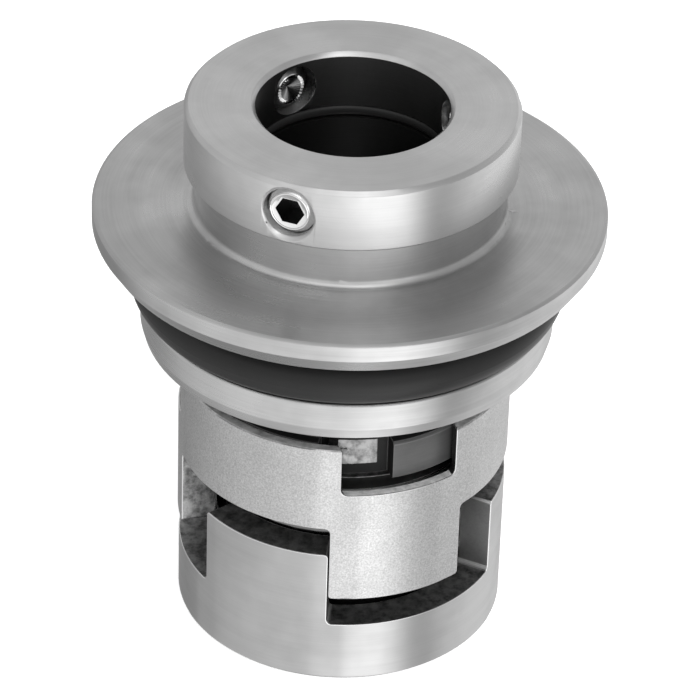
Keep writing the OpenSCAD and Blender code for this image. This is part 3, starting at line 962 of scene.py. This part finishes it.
bpy.ops.mesh.primitive_cylinder_add(vertices=SCREW_SIDES, radius=screw_radius, depth=screw_length,
                                    location=(0, 0, screw_length / 2))
bpy.ops.object.transform_apply(location=True, rotation=False, scale=False)
screw = bpy.context.object
select_nothing("EDGE")
for edge in screw.data.edges:
    first, last = (screw.data.vertices[index].co.z for index in edge.vertices)
    edge.select = abs(first - last) > screw_length / 2
bpy.ops.object.mode_set(mode="EDIT")
bpy.ops.mesh.subdivide(number_cuts=SCREW_RINGS)
bpy.ops.object.mode_set(mode="OBJECT")
for vertex in screw.data.vertices:
    angle = math.atan2(vertex.co.y, vertex.co.x)
    reach = threaded_radius(angle, vertex.co.z)
    vertex.co.x, vertex.co.y = reach * math.cos(angle), reach * math.sin(angle)
print("threaded blank vertices:", len(screw.data.vertices))

# %% Set screw: the knurled cup point
cup_wall = 0.32 * MM
cup_depth = 0.9 * MM
tooth_height = 0.16 * MM
near_end = 0.1 * MM
small_gap = 0.01 * MM

select_faces(screw, lambda face: face.normal.z < -UPWARD and face.center.z < near_end)
bpy.ops.mesh.inset(thickness=cup_wall)
bpy.ops.mesh.poke()
bpy.ops.object.mode_set(mode="OBJECT")
for vertex in screw.data.vertices:
    if abs(vertex.co.z) > small_gap:
        continue
    if Vector(vertex.co[:2]).length < small_gap:
        vertex.co.z = cup_depth
    elif round(math.atan2(vertex.co.y, vertex.co.x) * SCREW_SIDES / math.tau) % 2:
        vertex.co.z = tooth_height
print("cup point teeth:", SCREW_SIDES // 2)

# %% Set screw: turned rings on the head
# Width and depth of each ring in millimetres, from the outside in
HEAD_RINGS = ((0.10, -0.05), (0.12, 0.05), (0.12, -0.05))
select_faces(screw, lambda face: face.normal.z > UPWARD and face.center.z > screw_length - near_end)
for width, depth in HEAD_RINGS:
    bpy.ops.mesh.inset(thickness=width * MM, depth=depth * MM)
bpy.ops.object.mode_set(mode="OBJECT")
print("rings on the head:", len(HEAD_RINGS))

# %% Set screw: the hexagon socket
socket_across_flats = 3.0 * MM
corner_angle = math.radians(30)
socket_across_corners = socket_across_flats / math.cos(corner_angle)
socket_depth = 3.2 * MM
socket_mouth = 0.14 * MM
mouth_radius = 0.44 * socket_across_corners
MOUTH_SIDES = 48
cutter_above = 1.0 * MM


def cut_away(piece, cutter):
    cut = piece.modifiers.new("cut", "BOOLEAN")
    cut.operation = "DIFFERENCE"
    cut.solver = "EXACT"
    cut.object = cutter
    select_only(piece)
    bpy.ops.object.modifier_apply(modifier=cut.name)
    bpy.data.objects.remove(cutter)


bpy.ops.mesh.primitive_cylinder_add(vertices=6, radius=socket_across_corners / 2,
                                    depth=socket_depth + cutter_above, rotation=(0, 0, corner_angle),
                                    location=(0, 0, screw_length + (cutter_above - socket_depth) / 2))
bpy.ops.object.transform_apply(location=True, rotation=True, scale=False)
cut_away(screw, bpy.context.object)
bpy.ops.mesh.primitive_cone_add(vertices=MOUTH_SIDES, radius1=mouth_radius - socket_mouth,
                                radius2=mouth_radius + socket_mouth, depth=2 * socket_mouth,
                                location=(0, 0, screw_length))
bpy.ops.object.transform_apply(location=True, rotation=False, scale=False)
cut_away(screw, bpy.context.object)
print("socket across flats in mm:", round(socket_across_flats / MM, 2))

# %% Set screw: painted shade, dark steel in the cup and in the socket
SLOPING = 0.2
UPRIGHT = 0.1


def on_point(face):
    low_enough = face.center.z < point_chamfer + small_gap
    return low_enough and abs(face.normal.z) > SLOPING and abs(face.center.z) > tooth_height


def in_socket(face):
    near_axis = Vector(face.center[:2]).length < socket_across_corners / 2
    high_enough = face.center.z > screw_length - socket_depth - small_gap
    below_mouth = abs(face.normal.z) < UPRIGHT or face.center.z < screw_length - socket_mouth
    return near_axis and high_enough and below_mouth


screw.data.materials.append(screw_steel)
# The cup point gets painted shade
paint_faces(screw, shaded_point_steel, on_point)
# The socket gets painted shade
paint_faces(screw, shaded_socket_steel, in_socket)
print("screw faces:", len(screw.data.polygons))

# %% Set screw: three copies in their holes
for node, degrees in SCREW_ANGLES.items():
    piece = new_object(node + "_threaded", screw.data.copy())
    outward = compass_direction(degrees)
    upward = Vector((0, 0, 1))
    turn = Matrix((upward.cross(outward), upward, outward)).transposed()
    place = outward * screw_tip_at + Vector((0, 0, screw_height))
    piece.matrix_world = Matrix.Translation(place) @ turn.to_4x4()
    bpy.ops.object.transform_apply(location=True, rotation=True, scale=True)
    bpy.ops.object.shade_smooth_by_angle(angle=SHARP_ANGLE)
    take_on(piece, node)
bpy.data.objects.remove(screw)
print("set screws placed:", len(SCREW_ANGLES))

# %% [markdown]
# The spring is drawn wire, wound with a closed turn at each end and ground flat there so that it
# stands straight. A curve follows the coil, its bevel gives the round wire, and as a mesh its ends
# are bisected level, which leaves the crescent-shaped flats of a ground spring.

# %% Spring
spring_low, spring_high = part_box("seal_spring")
wire_radius = 0.9 * MM
spring_turns = 5.5
end_turns = 1.0
points_per_turn = 36
WIRE_ANGLE = math.radians(40)
coil_radius = (spring_high.x - spring_low.x) / 2 - wire_radius
free_height = spring_high.z - spring_low.z
# Half of the wire's radius is ground off at each end, and a closed end turn rises by one radius.
# The open turns between them rise by what is left of the height.
ground_off = wire_radius / 2
end_rise_per_turn = wire_radius
wire_rise = free_height - 2 * wire_radius + 2 * ground_off
open_rise = wire_rise - 2 * end_turns * end_rise_per_turn


def coil_height(turn):
    open_share = min(max((turn - end_turns) / (spring_turns - 2 * end_turns), 0), 1)
    end_share = min(turn, end_turns) + max(turn - spring_turns + end_turns, 0)
    return spring_low.z + wire_radius - ground_off + end_rise_per_turn * end_share + open_rise * open_share


coil = bpy.data.curves.new("spring_wire", "CURVE")
coil.dimensions = "3D"
coil.bevel_depth = wire_radius
coil.bevel_resolution = 4
coil.use_fill_caps = True
path = coil.splines.new("POLY")
steps = round(spring_turns * points_per_turn)
path.points.add(steps)
for step, point in enumerate(path.points):
    angle = math.tau * step / points_per_turn
    point.co = (coil_radius * math.cos(angle), coil_radius * math.sin(angle),
                coil_height(step / points_per_turn), 1)
new_object("seal_spring_wound", coil)
bpy.ops.object.convert(target="MESH")
spring = bpy.context.object
bpy.ops.object.mode_set(mode="EDIT")
for height, side in ((spring_low.z, -1), (spring_high.z, 1)):
    bpy.ops.mesh.select_all(action="SELECT")
    bpy.ops.mesh.bisect(plane_co=(0, 0, height), plane_no=(0, 0, side), use_fill=True, clear_outer=True)
bpy.ops.mesh.select_all(action="SELECT")
bpy.ops.mesh.remove_doubles(threshold=MERGE_DISTANCE)
bpy.ops.mesh.normals_make_consistent(inside=False)
bpy.ops.object.mode_set(mode="OBJECT")
bpy.ops.object.shade_smooth_by_angle(angle=WIRE_ANGLE)
# The wire is painted dark steel: painted shade
spring.data.materials.clear()
spring.data.materials.append(shaded_wire_steel)
take_on(spring, "seal_spring")
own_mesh(spring)
print("spring turns:", spring_turns, "vertices:", len(spring.data.vertices))

# %% [markdown]
# The dressed part has to fill the same box as the CAD model. Both boxes are measured, and the
# dressed part's box is printed.

# %% Bounds of the dressed part
low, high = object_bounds()
print("visual box in mm:", [round(side / MM, 2) for side in high - low])
